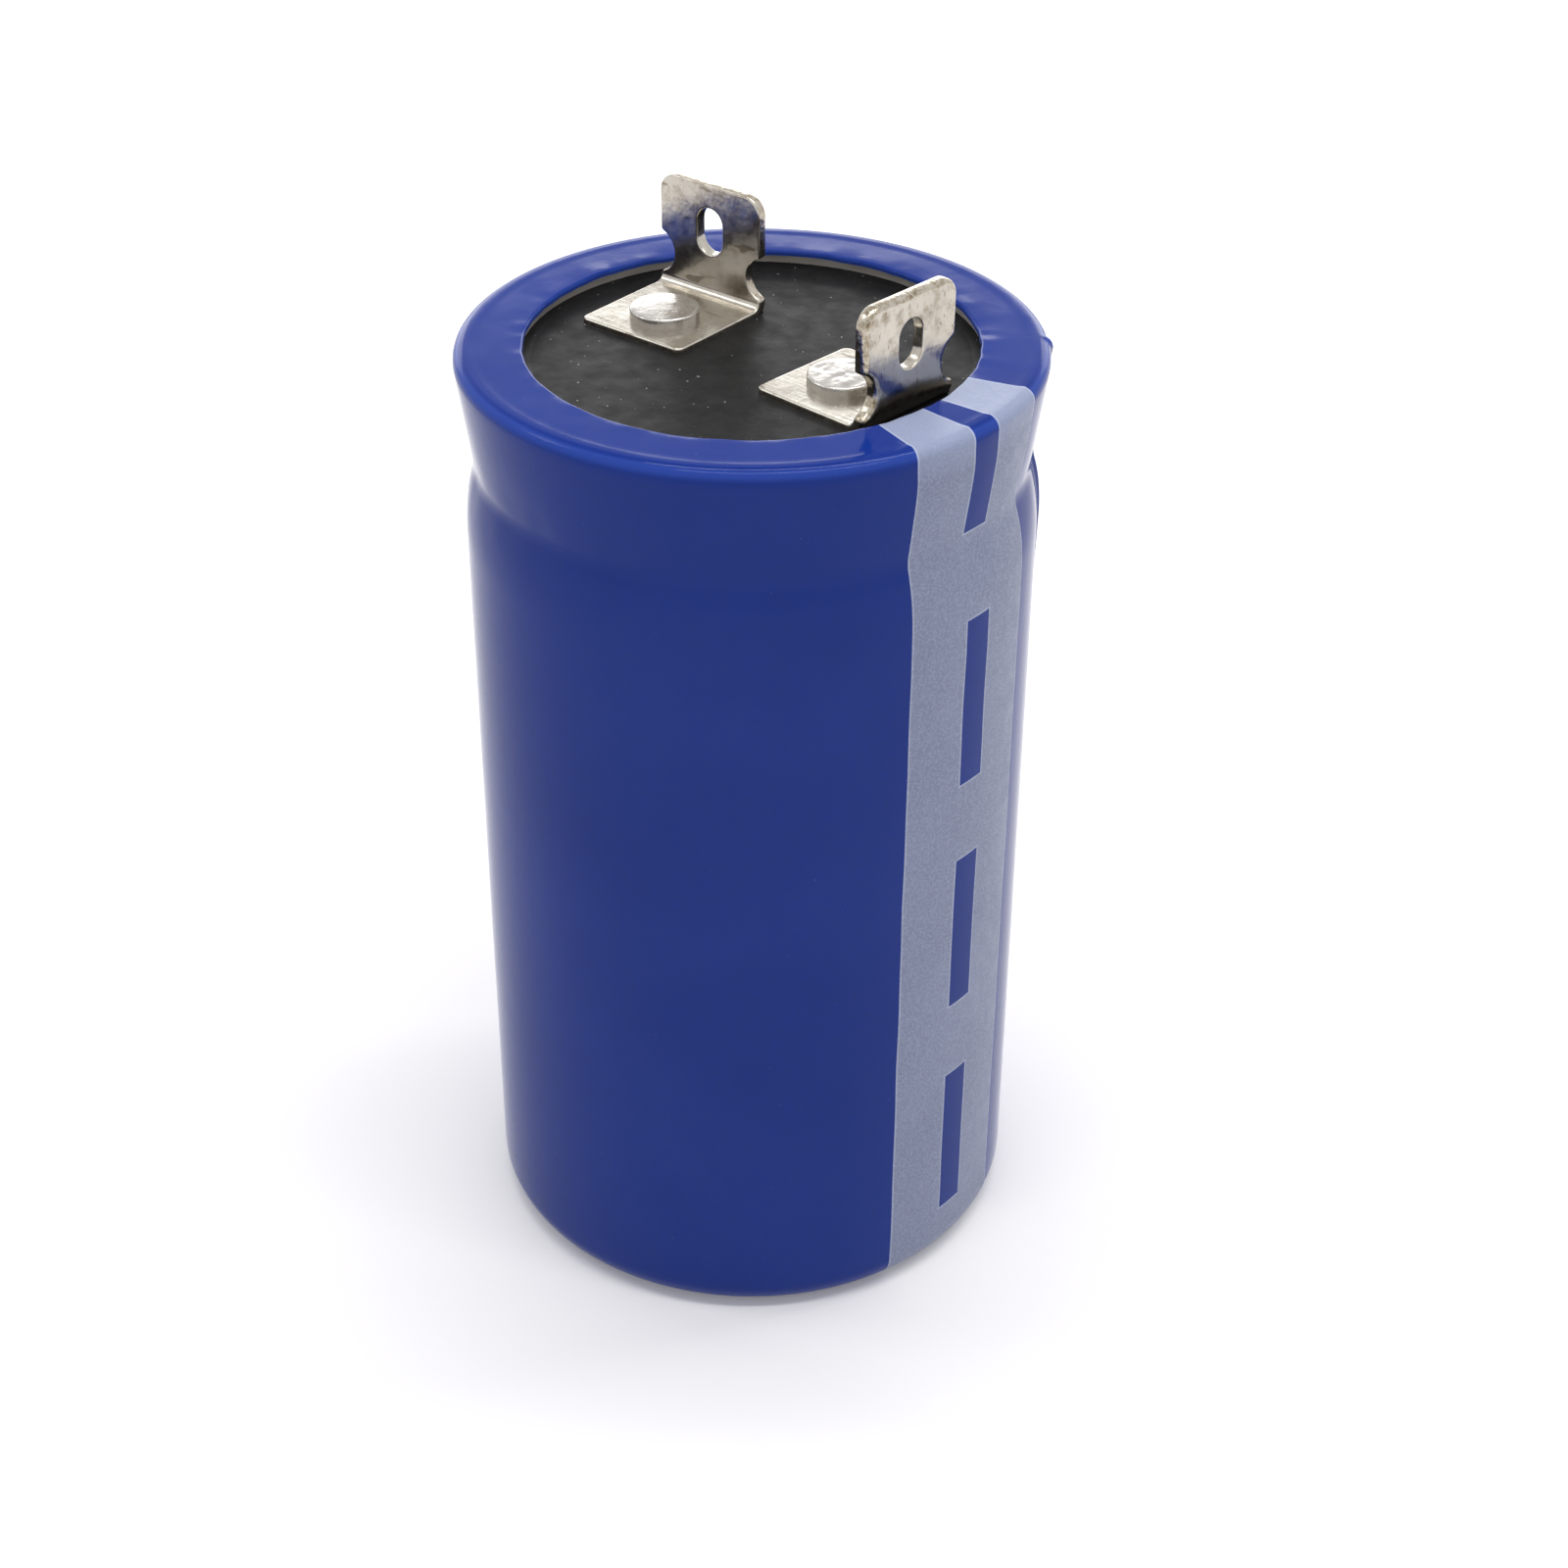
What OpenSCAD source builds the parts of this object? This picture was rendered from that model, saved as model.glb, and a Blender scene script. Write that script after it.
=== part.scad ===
// Can-type supercapacitor with two riveted solder lugs.
// The can stands on its base, and the rivets lie on the X axis.

/* [Body] */
// Outside diameter of the sleeved body
body_d = 35.3; // [29:0.1:45]
// Height from the base to the top of the rim
body_h = 62.5; // [45:0.5:100]
// Outside radius of the bottom edge
base_edge_r = 2.2; // [1.6:0.1:3]
// Film thickness of the sleeve
sleeve_t = 0.25; // [0.1:0.05:0.35]
// Width of the sleeve's ring under the base
base_lap = 4.65; // [3:0.05:9]

/* [Can] */
// Wall thickness of the can
can_t = 0.5; // [0.3:0.05:0.7]
// Depth of the rolled bead below the can's wall
bead_depth = 1.5; // [1.2:0.1:2]
// Radius of the bead's groove
bead_r = 1.5; // [1.3:0.1:1.8]
// Radius of the can's shoulders on both sides of the bead
bead_edge_r = 1.2; // [0.9:0.1:1.4]
// Length of one arm of the vent score in the base
score_l = 8; // [4:0.5:10]
// Width of the vent score
score_w = 0.6; // [0.3:0.1:1]
// Depth of the vent score
score_depth = 0.2; // [0.1:0.05:0.25]

/* [Rim] */
// How far the rim stands out from the body
rim_swell = 0.25; // [0.1:0.05:0.5]
// Width of the folded ring on top
rim_w = 4.2; // [3.4:0.1:4.4]
// Radius of the rim's outer edge
rim_edge_r = 0.7; // [0.5:0.05:1]
// Radius of the rim's inner edge
lip_r = 0.5; // [0.4:0.05:0.7]
// Depth of the folded lip below the rim's top
lip_depth = 1.35; // [1.1:0.05:1.45]
// Lean of the rim's wall from upright
rim_lean = 8; // [5:0.5:9]
// Radius of the sleeve where it dips into the bead
neck_r = 2.5; // [1.5:0.1:5]
// Radius of the shoulder under the bead
shoulder_r = 14; // [9:0.5:20]

/* [Header] */
// Depth of the rubber's face below the rim's top
header_drop = 1; // [0.9:0.05:1.1]
// Thickness of the rubber face
rubber_t = 2.1; // [1.7:0.1:2.6]
// Thickness of the board under the rubber
board_t = 3.2; // [2.4:0.1:4]
// How far the bead's centre lies below the board
bead_seat = 1; // [0.6:0.1:1.4]
// Gap between the board and the can's wall
board_gap = 0.05; // [0.02:0.01:0.2]
// Height of the rubber's swell along the lip
swell_h = 0.1; // [0.05:0.05:0.3]
// Width of the rubber's swell along the lip
swell_w = 0.7; // [0.4:0.1:1]

/* [Rivets] */
// Distance from the ring's inner edge to a rivet's axis
rivet_inset = 6.5; // [6:0.05:7.5]
// Diameter of a rivet's shank
rivet_d = 3.2; // [2.4:0.1:3.6]
// Diameter of a rivet's head on top
rivet_head_d = 4.3; // [4:0.1:5]
// Height of a rivet's head on top
rivet_head_h = 0.7; // [0.5:0.05:1]
// Edge radius of a rivet's head on top
rivet_edge_r = 0.15; // [0.1:0.05:0.3]
// Crown of a rivet's head on top
rivet_crown = 0.08; // [0.02:0.01:0.15]
// Diameter of a rivet's flange inside
flange_d = 6.4; // [5:0.1:7]
// Thickness of a rivet's flange inside
flange_t = 0.8; // [0.5:0.1:1.2]
// Gap between a rivet's shank and its holes
rivet_gap = 0.05; // [0.02:0.01:0.1]
// Diameter of a washer
washer_d = 7; // [5.5:0.1:8]
// Thickness of a washer
washer_t = 0.5; // [0.3:0.1:1]

/* [Lugs] */
// Sheet thickness of a lug
lug_t = 0.8; // [0.5:0.05:1]
// How deep a lug's plate is pressed into the rubber
lug_sink = 0.5; // [0.2:0.05:0.6]
// Width of a lug
lug_w = 7.9; // [6.5:0.1:8.3]
// Length of a lug's plate, from its free end to the upright
lug_l = 7.7; // [7:0.1:8]
// Height of a lug above its underside
lug_rise = 7.9; // [7:0.05:12]
// Inside radius of a lug's bend
bend_r = 0.5; // [0.3:0.05:0.8]
// Distance from the rivet to the upright
lug_reach = 4.35; // [3.8:0.05:4.5]
// Width of the wire slot
slot_w = 2; // [1.5:0.1:2.5]
// Length of the wire slot
slot_l = 3; // [2.6:0.1:3.6]
// Height of the slot's centre above the underside
slot_z = 4.9; // [4.5:0.1:5.5]
// Radius of the waist's notches
waist_r = 1.4; // [1:0.1:1.6]
// Depth of the waist's notches
waist_depth = 1.05; // [0.4:0.05:1.2]
// Height of the waist above the underside
waist_z = 2.75; // [2.5:0.05:3]
// Radius of the upright's top corners
tip_corner_r = 1.2; // [0.4:0.1:2]
// Radius of the plate's free corners
free_corner_r = 0.5; // [0.2:0.1:1.2]
// Direction of the positive lug's upright, in degrees from +X
positive_turn = 93; // [85:1:100]
// Direction of the negative lug's upright, in degrees from +X
negative_turn = -2; // [-8:1:8]

/* [Winding] */
// Gap between the taped winding and the can
winding_gap = 0.35; // [0.2:0.05:0.8]
// Room between the winding and the rivets' flanges
headroom = 3.3; // [1.5:0.1:6]
// Diameter of the winding's core hole
core_d = 4; // [2:0.5:6]
// Thickness of the tape
tape_t = 0.15; // [0.05:0.05:0.3]
// Width of the tape
tape_w = 25; // [15:1:30]
// Thickness of a tab
tab_t = 0.3; // [0.2:0.05:0.5]
// Width of a tab
tab_w = 5; // [4.5:0.1:6]
// Length of a tab's flat, from its end to its upright leg
tab_l = 7; // [6.6:0.1:8]
// Distance from the rivet to a tab's upright leg
tab_reach = 4; // [3.8:0.1:4.2]
// Inside radius of a tab's bend
tab_bend_r = 0.4; // [0.3:0.05:0.6]

/* [Hidden] */
$fn = 64;
arc_steps = 6;
cut = 0.5;

// Radii of the body, from outside to inside
body_r = body_d / 2;
can_r = body_r - sleeve_t;
can_in = sleeve_t + can_t;
rim_r = body_r + rim_swell;
open_r = rim_r - rim_w;
lip_in_r = open_r + sleeve_t;
lip_out_r = lip_in_r + can_t;

// Heights of the header's layers, from the top down
fold_z = body_h - can_in;
lip_z = body_h - lip_depth;
header_z = body_h - header_drop;
lug_z = header_z - lug_sink;
board_z = header_z - rubber_t;
board_low_z = board_z - board_t;
washer_z = board_low_z - tab_t - washer_t;
flange_z = washer_z - flange_t;
winding_z = flange_z - headroom;

// Centres of the arcs in the wall's outline
base_c = [body_r - base_edge_r, base_edge_r];
rim_c = [rim_r - rim_edge_r, body_h - rim_edge_r];
lip_c = [open_r + lip_r, body_h - lip_r];
bead_c = [can_r - bead_depth + bead_r, board_low_z - bead_seat];

// The rim's leaning wall ends in the neck's arc, which meets the shoulder's arc
lean_out = [cos(rim_lean), -sin(rim_lean)];
lean_up = [sin(rim_lean), cos(rim_lean)];
rim_low = rim_c + rim_edge_r * lean_out;
lean_l = (rim_low.y - bead_c.y + neck_r * lean_out.y) / lean_up.y;
neck_c = rim_low - lean_l * lean_up + neck_r * lean_out;
shoulder_x = body_r - shoulder_r;
shoulder_fall = sqrt(pow(neck_r + shoulder_r, 2) - pow(neck_c.x - shoulder_x, 2));
shoulder_c = [shoulder_x, neck_c.y - shoulder_fall];
shoulder_a = atan2(shoulder_fall, neck_c.x - shoulder_x);

// The can's own wall leaves the shoulder for its bead, and comes back to the leaning wall
bead_span = bead_r + bead_edge_r;
can_shoulder_r = shoulder_r - sleeve_t;
low_span = can_shoulder_r - bead_edge_r;
shoulder_l = norm(bead_c - shoulder_c);
to_bead = (bead_c - shoulder_c) / shoulder_l;
low_along = (pow(low_span, 2) - pow(bead_span, 2) + pow(shoulder_l, 2)) / (2 * shoulder_l);
low_aside = sqrt(pow(low_span, 2) - pow(low_along, 2));
low_edge_c = shoulder_c + low_along * to_bead + low_aside * [to_bead.y, -to_bead.x];
low_wall_a = atan2(low_edge_c.y - shoulder_c.y, low_edge_c.x - shoulder_c.x);
low_edge_a = atan2(bead_c.y - low_edge_c.y, bead_c.x - low_edge_c.x);
lean_start = rim_c + (rim_edge_r - sleeve_t - bead_edge_r) * lean_out;
lean_from_bead = lean_start - bead_c;
lean_drop = lean_from_bead * lean_up;
high_edge_rise = sqrt(pow(bead_span, 2) - lean_from_bead * lean_from_bead + pow(lean_drop, 2));
high_edge_c = lean_start - (lean_drop - high_edge_rise) * lean_up;
high_edge_a = atan2(high_edge_c.y - bead_c.y, bead_c.x - high_edge_c.x);

header_r = rim_wall_r(high_edge_c.y, can_in) - board_gap;
hole_r = rivet_d / 2 + rivet_gap;
winding_r = body_r - can_in - winding_gap - tape_t;
terminal_x = open_r - rivet_inset;
base_open_r = body_r - base_lap;
score_arms = 3;

// Points along an arc about c, from angle a0 to angle a1
function arc(c, r, a0, a1) =
    [for (i = [0:arc_steps]) let (a = a0 + (a1 - a0) * i / arc_steps) c + r * [cos(a), sin(a)]];

function reversed(points) = [for (i = [len(points) - 1:-1:0]) points[i]];

// Radius of the rim's leaning wall at height z, at a depth below the sleeve's skin
function rim_wall_r(z, depth) =
    rim_low.x - (rim_low.y - z) * tan(rim_lean) - depth / cos(rim_lean);

// Outlines at a depth below the sleeve's skin: the rounded bottom edge and the folded rim
function base_edge(depth) = arc(base_c, base_edge_r - depth, -90, 0);

function rim_fold(depth) = concat(
    arc(rim_c, rim_edge_r - depth, -rim_lean, 90),
    arc(lip_c, lip_r - depth, 90, 180));

// Outline of the sleeve, which bridges the bead in a shallow neck
function sleeve_side(depth) = concat(
    base_edge(depth),
    arc(shoulder_c, shoulder_r - depth, 0, shoulder_a),
    arc(neck_c, neck_r + depth, 180 + shoulder_a, 180 - rim_lean),
    rim_fold(depth));

// Outline of the can from its base to its leaning wall, at a depth into its own metal
function can_side(depth) = concat(
    base_edge(sleeve_t + depth),
    arc(shoulder_c, can_shoulder_r - depth, 0, low_wall_a),
    arc(low_edge_c, bead_edge_r - depth, low_wall_a, low_edge_a),
    arc(bead_c, bead_r + depth, 180 + low_edge_a, 180 - high_edge_a),
    arc(high_edge_c, bead_edge_r - depth, -high_edge_a, -rim_lean));

// Copies at the positive rivet, on the left, and at the negative one
module at_positive(turn = 0) {
    translate([-terminal_x, 0, 0]) rotate(turn) children();
}

module at_negative(turn = 0) {
    translate([terminal_x, 0, 0]) rotate(turn) children();
}

module both_rivet_holes() {
    for (side = [-1, 1])
        translate([side * terminal_x, 0, 0]) cylinder(r = hole_r, h = body_h);
}

// Heat-shrink film, from its opening under the base to its opening on top
module sleeve() {
    color("royalblue") rotate_extrude($fn = 128)
        polygon(concat(
            [[base_open_r, 0]], sleeve_side(0),
            reversed(sleeve_side(sleeve_t)), [[base_open_r, sleeve_t]]));
}

// Section of the can, with its lip folded down into the rubber
module can_section() {
    polygon(concat(
        [[0, can_in]], can_side(can_t),
        [[rim_wall_r(fold_z, can_in), fold_z], [lip_out_r, fold_z],
            [lip_out_r, lip_z], [lip_in_r, lip_z]],
        reversed(rim_fold(sleeve_t)), reversed(can_side(0)), [[0, sleeve_t]]));
}

// Scored lines in the base, where the can opens under pressure
module vent_score() {
    for (i = [0:score_arms - 1])
        rotate(i * 360 / score_arms)
            translate([0, -score_w / 2, sleeve_t - cut])
                cube([score_l, score_w, cut + score_depth]);
}

module can() {
    color("silver") difference() {
        rotate_extrude($fn = 128) can_section();
        vent_score();
    }
}

// Rubber face, swollen up along the lip, filling the space under the fold and dented by the lugs
module header_rubber() {
    color("dimgray") difference() {
        rotate_extrude($fn = 128)
            polygon([[0, board_z], [rim_wall_r(board_z, can_in), board_z],
                [rim_wall_r(fold_z, can_in), fold_z], [lip_out_r, fold_z],
                [lip_out_r, lip_z], [lip_in_r, lip_z], [lip_in_r, header_z + swell_h],
                [lip_in_r - swell_w, header_z], [0, header_z]]);
        both_rivet_holes();
        translate([0, 0, lug_z]) {
            at_positive(positive_turn) lug_blank();
            at_negative(negative_turn) lug_blank();
        }
    }
}

// Rigid board, seated on the inside of the bead
module header_board() {
    color("saddlebrown") difference() {
        rotate_extrude($fn = 128) intersection() {
            translate([0, board_low_z]) square([header_r, board_t]);
            polygon(concat([[0, 0]], can_side(can_t), [[header_r, board_z], [0, board_z]]));
        }
        both_rivet_holes();
    }
}

// Side view of a strip with one square bend: its flat lies on X, its end is at x0
module bent_side(x0, reach, rise, t, r) {
    bend_c = [reach - r, t + r];
    translate([x0, 0]) square([bend_c.x - x0, t]);
    translate([reach, bend_c.y]) square([t, rise - bend_c.y]);
    translate(bend_c) intersection() {
        difference() {
            circle(r = r + t);
            circle(r = r);
        }
        translate([0, -r - t]) square(r + t);
    }
}

module bent_strip(l, w, reach, rise, t, r) {
    rotate([90, 0, 0]) linear_extrude(w, center = true)
        bent_side(reach - l, reach, rise, t, r);
}

// What is cut off a corner to round it, about the arc's centre
module corner_off(r, h) {
    linear_extrude(h) difference() {
        square(r + cut);
        circle(r = r);
    }
}

module wire_slot() {
    straight = slot_l - slot_w;
    translate([lug_reach - cut, 0, slot_z]) rotate([90, 0, 90]) linear_extrude(lug_t + 2 * cut) {
        square([slot_w, straight], center = true);
        for (end = [-1, 1])
            translate([0, end * straight / 2]) circle(d = slot_w);
    }
}

// A bent strip about the rivet, with its underside at z = 0 and its upright towards +X
module lug_blank() {
    free_y = lug_w / 2 - free_corner_r;
    difference() {
        bent_strip(lug_l, lug_w, lug_reach, lug_rise, lug_t, bend_r);
        for (side = [0, 1]) mirror([0, side, 0])
            translate([lug_reach - lug_l + free_corner_r, free_y, -cut])
                rotate(90) corner_off(free_corner_r, lug_t + 2 * cut);
    }
}

// A lug, cut from its blank
module lug() {
    tip_y = lug_w / 2 - tip_corner_r;
    waist_y = lug_w / 2 - waist_depth + waist_r;
    difference() {
        lug_blank();
        translate([0, 0, -cut]) cylinder(r = hole_r, h = lug_t + 2 * cut);
        wire_slot();
        for (side = [0, 1]) mirror([0, side, 0]) {
            translate([lug_reach - bend_r, waist_y, waist_z])
                rotate([0, 90, 0]) cylinder(r = waist_r, h = lug_t + bend_r + cut);
            translate([lug_reach - cut, tip_y, lug_rise - tip_corner_r])
                rotate([90, 0, 90]) corner_off(tip_corner_r, lug_t + 2 * cut);
        }
    }
}

module positive_lug() {
    color("gainsboro") translate([0, 0, lug_z]) at_positive(positive_turn) lug();
}

module negative_lug() {
    color("gainsboro") translate([0, 0, lug_z]) at_negative(negative_turn) lug();
}

// A rivet with its flange inside and its crowned head on the lug's plate
module rivet() {
    head_z = lug_z + lug_t;
    head_r = rivet_head_d / 2;
    crown_z = head_z + rivet_head_h - rivet_crown;
    edge_c = [head_r - rivet_edge_r, crown_z - rivet_edge_r];
    rotate_extrude() polygon(concat(
        [[0, flange_z], [flange_d / 2, flange_z], [flange_d / 2, washer_z],
            [rivet_d / 2, washer_z], [rivet_d / 2, head_z], [head_r, head_z]],
        arc(edge_c, rivet_edge_r, 0, 80), [[0, head_z + rivet_head_h]]));
}

module positive_rivet() {
    color("whitesmoke") at_positive() rivet();
}

module negative_rivet() {
    color("whitesmoke") at_negative() rivet();
}

module washer() {
    translate([0, 0, washer_z]) difference() {
        cylinder(d = washer_d, h = washer_t);
        translate([0, 0, -cut]) cylinder(r = hole_r, h = washer_t + 2 * cut);
    }
}

module positive_washer() {
    color("lightgray") at_positive() washer();
}

module negative_washer() {
    color("lightgray") at_negative() washer();
}

// A strip held between the board and the washer, with its leg down to the winding
module tab() {
    translate([0, 0, board_low_z]) mirror([0, 0, 1]) difference() {
        bent_strip(tab_l, tab_w, tab_reach, board_low_z - winding_z, tab_t, tab_bend_r);
        translate([0, 0, -cut]) cylinder(r = hole_r, h = tab_t + 2 * cut);
    }
}

module positive_tab() {
    color("silver") at_positive(90) tab();
}

module negative_tab() {
    color("silver") at_negative(-90) tab();
}

// Rolled electrodes and separators, with a bevel that clears the can's bottom corner
module winding() {
    bevel = base_edge_r - can_in;
    color("#333333") rotate_extrude()
        polygon([[core_d / 2, can_in], [winding_r - bevel, can_in], [winding_r, can_in + bevel],
            [winding_r, winding_z], [core_d / 2, winding_z]]);
}

module winding_tape() {
    color("khaki") translate([0, 0, (can_in + winding_z - tape_w) / 2]) difference() {
        cylinder(r = winding_r + tape_t, h = tape_w);
        translate([0, 0, -cut]) cylinder(r = winding_r, h = tape_w + 2 * cut);
    }
}

sleeve();
can();
header_rubber();
header_board();
positive_lug();
negative_lug();
positive_rivet();
negative_rivet();
positive_washer();
negative_washer();
positive_tab();
negative_tab();
winding();
winding_tape();
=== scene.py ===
import math

import bmesh
import bpy
from mathutils import Matrix, Vector, noise


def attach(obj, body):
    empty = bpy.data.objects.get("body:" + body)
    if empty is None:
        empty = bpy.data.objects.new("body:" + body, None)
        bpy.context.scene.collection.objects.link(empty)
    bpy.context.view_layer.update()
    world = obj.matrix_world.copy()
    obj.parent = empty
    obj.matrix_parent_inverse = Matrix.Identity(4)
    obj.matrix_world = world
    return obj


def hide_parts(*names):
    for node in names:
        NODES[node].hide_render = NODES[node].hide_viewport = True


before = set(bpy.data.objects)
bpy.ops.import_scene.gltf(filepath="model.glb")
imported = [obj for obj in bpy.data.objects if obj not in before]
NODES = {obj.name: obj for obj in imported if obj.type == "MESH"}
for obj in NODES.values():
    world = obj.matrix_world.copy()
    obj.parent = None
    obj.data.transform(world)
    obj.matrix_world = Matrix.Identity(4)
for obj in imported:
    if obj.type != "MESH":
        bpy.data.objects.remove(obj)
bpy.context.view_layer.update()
MM = 0.001

# Sizes of the part's wall section, in millimetres
BODY_R = 17.65
BODY_H = 62.5
RIM_R = 17.9
OPEN_R = 13.7
SLEEVE_T = 0.25
BASE_OPEN_R = 13.0
BASE_EDGE_R = 2.2
RIM_EDGE_R = 0.7
LIP_R = 0.18
LIP_DROP = 0.35
RIM_LEAN = 8.0
NECK_R = 2.5
NECK_Z = 55.2
SHOULDER_R = 14.0

# Sizes of the header, rivets and lugs
LUG_Z = 61.0
TERMINAL_X = 7.2
LUG_T = 0.8
LUG_W = 7.9
LUG_L = 7.7
LUG_RISE = 7.9
LUG_REACH = 4.35
BEND_R = 0.5
SLOT_W = 2.0
SLOT_L = 3.0
SLOT_Z = 4.9
WAIST_R = 1.4
WAIST_DEPTH = 1.05
WAIST_Z = 2.75
WAIST_EDGE_R = 0.3
TIP_CORNER_R = 1.2
FREE_CORNER_R = 0.5
POSITIVE_TURN = 93.0
NEGATIVE_TURN = -2.0
DIE_ROLL_R = 0.32
HOLE_ROLL_R = 0.1
INNER_EDGE_R = 0.1
HOLE_R = 1.65
RIVET_R = 1.6
RIVET_HEAD_R = 2.15
RIVET_HEAD_H = 0.7
RIVET_EDGE_R = 0.15
RIVET_CROWN = 0.04
FLANGE_R = 3.2
FLANGE_Z = 54.6
WASHER_Z = 55.4

# The printed stripe: edges and widths in degrees about the axis, heights in millimetres
STRIPE = (-16.35, 19.0)
STRIPE_MIDDLE = 2.0
STRIPE_SWAY_W = 22.0
OUTLINE_A = 0.42
OUTLINE_H = 0.14
DASH = (-2.15, 4.65)
DASH_ROWS = ((4.35, 15.75), (21.5, 32.85), (38.48, 50.0), (55.6, 99.0))
FILM_FACE, INK_FACE, OUTLINE_FACE = 0, 1, 2

# Creases down the sleeve's wall: angles in degrees, then depth, height and reach in millimetres
CREASES = (43.0, 212.0)
CREASE_W = 0.75
CREASE_STEPS = (-4.0, -2.8, -1.9, -1.2, -0.7, -0.3, 0.0, 0.3, 0.7, 1.2, 1.9, 2.8, 4.0)
CREASE_SWELLS = ((0.22, 54.0, 5.0), (0.1, 40.0, 14.0))
CREASE_RIM = (0.12, 61.8, 1.2)
CREASE_FADE = (62.0, 3.0)

# The sleeve's other soft forms, in millimetres: neck folds, ridge and waves of the ring, and base
FOLD_Z = 55.0
FOLD_W = 2.2
RING_LOW_Z = 61.0
RING_TOP_Z = 61.9
RING_EDGE_R = 16.9
RING_EDGE_W = 0.7
RIDGE_R = 17.2
RIDGE_W = 0.12
RIDGE_H = 0.05
TOP_WAVE_R = 15.0
TOP_WAVE_W = 1.3
BASE_WAVE_Z = 0.4
BASE_WAVE_R = 14.5
BASE_WAVE_W = 1.5

# Columns of faces round the turned pieces, and the angles from which their edges are sharp
SLEEVE_COLUMNS = 256
SLEEVE_SHARP = 50.0
RIVET_COLUMNS = 72
RIVET_SHARP = 45.0
LUG_SHARP = 35.0
BEND_STEPS = 10

# Heights between which one colour gives way to the next, in millimetres
FILM_RING_Z = (61.3, 62.1)
# Heights of the film's painted highlight on its round top edges:
FILM_HIGHLIGHT_Z = (61.4, 62.6)
# Heights where the ink turns to its painted lighter top tone:
INK_TOP_LIGHT_Z = (60.0, 62.4)
STAIN_Z = (64.5, 67.5)

# The camera: angles in degrees, place in metres, sensor and lens in millimetres
VIEW_TURN = 42.0
VIEW_TILT = 56.78
CAMERA_PLACE = (0.10186, -0.11313, 0.13027)
CAMERA_SENSOR = 36.0
CAMERA_LENS = 63.09
CAMERA_SHIFT = 0.0206
CAMERA_CLIP = (0.01, 20.0)

# The floor in metres, its fade in millimetres, the world's fill, and the strip lamps in metres and watts
FLOOR_HALF = 3.0
FLOOR_FADE = 500.0
WORLD_FILL = 0.48
STRIP_SIZE = (0.55, 0.05)
STRIP_WATTS = 1.2


def srgb(r, g, b):
    """A linear colour from an sRGB one of 0 to 255."""
    out = []
    for c in (r, g, b):
        c = c / 255
        out.append(c / 12.92 if c <= 0.04045 else ((c + 0.055) / 1.055) ** 2.4)
    return (*out, 1.0)


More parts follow.
